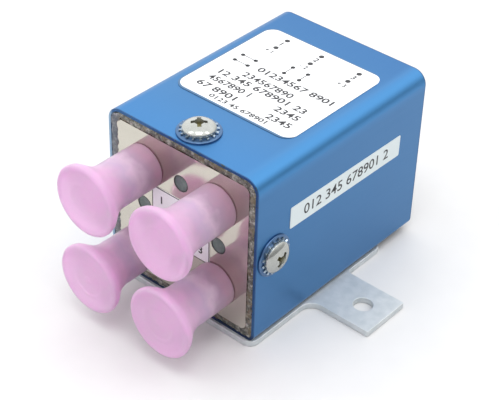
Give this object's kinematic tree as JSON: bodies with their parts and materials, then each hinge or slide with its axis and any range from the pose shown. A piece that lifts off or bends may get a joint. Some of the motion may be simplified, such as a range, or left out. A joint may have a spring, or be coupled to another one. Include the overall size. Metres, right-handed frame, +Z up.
{
  "type": "coaxial antenna switch",
  "caption": "Latching coaxial transfer switch: rectangular drawn can, coaxial jacks under pull-off dust caps, rear solder terminals and a flat eared mounting bracket.",
  "frame": {"origin": "midway between the two ear holes, at the height of the bracket's underside", "axes": "+Z up, away from the bracket; -Y is the way the coaxial jacks face; +X to the right seen from the jacks' side"},
  "size_m": [0.0588, 0.0652, 0.0368],
  "materials": {
    "can_blue": "satin blue anodised",
    "body_metal": "satin plated",
    "sealant": "glossy cured sealant",
    "plug_resin": "matte resin",
    "jack_steel": "turned and passivated",
    "insulator": "fluoropolymer",
    "gold": "gold plated",
    "cap_pink": "translucent soft plastic",
    "rod_plastic": "satin",
    "spring_steel": "drawn wire",
    "moulding": "satin moulded",
    "soft_iron": "nickel plated",
    "bobbin": "satin moulded",
    "copper_wire": "enamelled winding",
    "magnet": "sintered",
    "board": "solder mask",
    "diode": "moulded",
    "header": "glass epoxy",
    "terminal": "tinned",
    "screw_nickel": "nickel plated",
    "washer_steel": "plated",
    "bracket_steel": "plain sheet",
    "label_white": "printed film"
  },
  "bodies": {
    "switch_body": {"cover_can": "can_blue", "bracket": "bracket_steel", "bracket_screws": "screw_nickel", "cover_screws": "screw_nickel", "lock_washers": "washer_steel", "flat_washers": "washer_steel", "rf_body": "body_metal", "face_seal": "sealant", "guide_plugs": "plug_resin", "cavity_cover": "body_metal", "cavity_cover_screws": "screw_nickel", "frame_screws": "screw_nickel", "jack_shell_1": "jack_steel", "jack_insulator_1": "insulator", "jack_contact_1": "gold", "jack_shell_2": "jack_steel", "jack_insulator_2": "insulator", "jack_contact_2": "gold", "jack_shell_3": "jack_steel", "jack_insulator_3": "insulator", "jack_contact_3": "gold", "jack_shell_4": "jack_steel", "jack_insulator_4": "insulator", "jack_contact_4": "gold", "return_spring_top": "spring_steel", "return_spring_right": "spring_steel", "return_spring_bottom": "spring_steel", "return_spring_left": "spring_steel", "pivot_pin": "spring_steel", "actuator_frame": "soft_iron", "coil_bobbin_left": "bobbin", "coil_bobbin_right": "bobbin", "coil_winding_left": "copper_wire", "coil_winding_right": "copper_wire", "coil_cores": "soft_iron", "magnet": "magnet", "centre_pole": "soft_iron", "circuit_board": "board", "diodes": "diode", "terminal_header": "header", "terminals": "terminal", "top_label": "label_white", "side_label": "label_white", "face_label": "label_white"},
    "rocker": {"rocker": "moulding", "armature": "soft_iron"},
    "pusher_a": {"pusher_bar_a": "moulding", "push_rod_top": "rod_plastic", "push_rod_bottom": "rod_plastic", "reed_top": "gold", "reed_bottom": "gold"},
    "pusher_b": {"pusher_bar_b": "moulding", "push_rod_left": "rod_plastic", "push_rod_right": "rod_plastic", "reed_left": "gold", "reed_right": "gold"},
    "cap_1": {"dust_cap_1": "cap_pink"},
    "cap_2": {"dust_cap_2": "cap_pink"},
    "cap_3": {"dust_cap_3": "cap_pink"},
    "cap_4": {"dust_cap_4": "cap_pink"}
  },
  "joints": [
    {"name": "rocker_tilt", "type": "hinge", "parent": "switch_body", "child": "rocker", "pos_m": [0, 0.0022, 0.01795], "axis": [0, 0, -1], "range_deg": [0, 11.46]},
    {"name": "pusher_a_slide", "type": "slide", "parent": "switch_body", "child": "pusher_a", "axis": [0, 1, 0], "range_m": [0, 0.0012], "deforming": ["return_spring_top", "return_spring_bottom"]},
    {"name": "pusher_b_slide", "type": "slide", "parent": "switch_body", "child": "pusher_b", "axis": [0, -1, 0], "range_m": [0, 0.0012], "deforming": ["return_spring_left", "return_spring_right"]},
    {"name": "cap_1_pull", "type": "slide", "parent": "switch_body", "child": "cap_1", "axis": [0, -1, 0], "range_m": [0, 0.015]},
    {"name": "cap_2_pull", "type": "slide", "parent": "switch_body", "child": "cap_2", "axis": [0, -1, 0], "range_m": [0, 0.015]},
    {"name": "cap_3_pull", "type": "slide", "parent": "switch_body", "child": "cap_3", "axis": [0, -1, 0], "range_m": [0, 0.015]},
    {"name": "cap_4_pull", "type": "slide", "parent": "switch_body", "child": "cap_4", "axis": [0, -1, 0], "range_m": [0, 0.015]}
  ],
  "couplings": [
    {"joint": "pusher_a_slide", "follows": "rocker_tilt", "m_per_rad": 0.006},
    {"joint": "pusher_b_slide", "follows": "rocker_tilt", "m_per_rad": 0.006}
  ]
}
